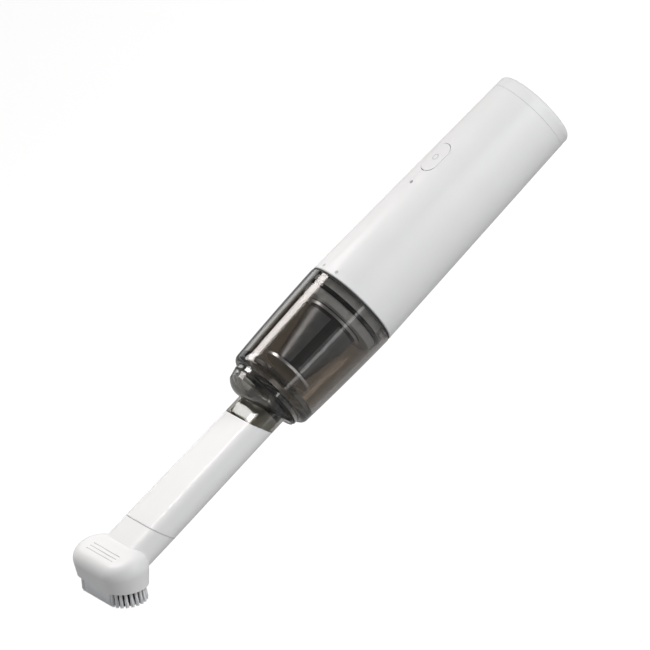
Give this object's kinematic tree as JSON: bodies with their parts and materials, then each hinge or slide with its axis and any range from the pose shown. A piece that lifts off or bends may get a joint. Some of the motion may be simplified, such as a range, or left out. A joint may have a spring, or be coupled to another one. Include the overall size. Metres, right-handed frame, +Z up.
{
  "type": "handheld vacuum cleaner",
  "caption": "Cordless handheld vacuum: tapered white body with a button, smoked twist-off dust cup with a cone filter, flat pull-off nozzle and slanted brush head.",
  "frame": {"origin": "centre of the flat tail face", "axes": "+X along the body axis from the tail to the brush, +Z up through the power button"},
  "size_m": [0.3866, 0.0601, 0.0598],
  "materials": {
    "white_shell": "satin moulded shell",
    "smoked_clear": "smoked transparent, polished",
    "chassis_grey": "fine moulded grain",
    "filter_plastic": "fine moulded grain",
    "inner_plastic": "fine moulded grain",
    "black_rubber": "soft matt rubber",
    "mark_grey": "flat print",
    "lamp_lens": "frosted lens",
    "filter_cloth": "pleated filter cloth",
    "bristle_nylon": "nylon strands",
    "steel": "bright steel",
    "magnet": "sintered magnet",
    "copper": "enamelled copper wire",
    "circuit_board": "solder mask",
    "component_black": "moulded package",
    "plunger_plastic": "moulded",
    "led_lens": "clear lens",
    "fan_plastic": "moulded fan",
    "cell_wrap": "shrink-wrapped can",
    "lead_jacket": "lead insulation"
  },
  "bodies": {
    "body": {"main_housing": "white_shell", "tail_cap": "white_shell", "cap_screws": "steel", "lock_marks": "mark_grey", "tact_switch": "component_black", "status_led": "led_lens", "light_pipe": "lamp_lens", "main_board": "circuit_board", "board_screws": "steel", "board_components": "component_black", "battery_tabs": "steel", "battery_cradle": "inner_plastic", "usb_port": "steel", "usb_board": "circuit_board", "charge_leads": "lead_jacket", "battery_leads": "lead_jacket", "motor_leads": "lead_jacket", "front_chassis": "chassis_grey", "spigot_o_ring": "black_rubber", "seam_gasket": "black_rubber", "front_damper": "black_rubber", "stator_core": "steel", "stator_windings": "copper", "rear_bearing": "steel", "front_bearing": "steel", "motor_case": "steel", "motor_board": "circuit_board", "diffuser": "inner_plastic", "fan_housing": "inner_plastic", "rear_damper": "black_rubber", "filter_frame": "filter_plastic", "filter_gasket": "black_rubber", "filter_cage": "filter_plastic", "filter_media": "filter_cloth", "filter_cap": "filter_plastic", "battery_cell_left": "cell_wrap", "battery_cell_right": "cell_wrap"},
    "button": {"power_button": "white_shell", "button_mark": "mark_grey", "switch_plunger": "plunger_plastic"},
    "cup": {"dust_cup": "smoked_clear", "inlet_nose": "smoked_clear", "nose_gasket": "black_rubber", "inlet_duct": "inner_plastic", "flap_pin": "steel"},
    "flap": {"inlet_flap": "inner_plastic"},
    "nozzle": {"nozzle_tube": "white_shell"},
    "brush": {"brush_head": "white_shell", "bristle_carrier": "inner_plastic", "bristles": "bristle_nylon"},
    "rotor": {"impeller": "fan_plastic", "motor_shaft": "steel", "rotor_magnet": "magnet"}
  },
  "joints": [
    {"name": "button_press", "type": "slide", "parent": "body", "child": "button", "axis": [0, 0, -1], "range_m": [0, 0.0008], "stiffness_N_per_m": 1500, "springref_m": -0.0002},
    {"name": "cup_twist", "type": "hinge", "parent": "body", "child": "cup", "pos_m": [0.1602, 0, 0], "axis": [1, 0, 0], "range_deg": [0, 25]},
    {"name": "flap_swing", "type": "hinge", "parent": "cup", "child": "flap", "pos_m": [0.22845, 0, 0.00425], "axis": [0, 1, 0], "range_deg": [0, 55]},
    {"name": "nozzle_pull", "type": "slide", "parent": "cup", "child": "nozzle", "axis": [1, 0, 0], "range_m": [0, 0.03]},
    {"name": "brush_pull", "type": "slide", "parent": "nozzle", "child": "brush", "axis": [1, 0, 0], "range_m": [0, 0.025]},
    {"name": "rotor_spin", "type": "hinge", "parent": "body", "child": "rotor", "pos_m": [0.1024, 0, 0], "axis": [1, 0, 0], "continuous": true}
  ]
}
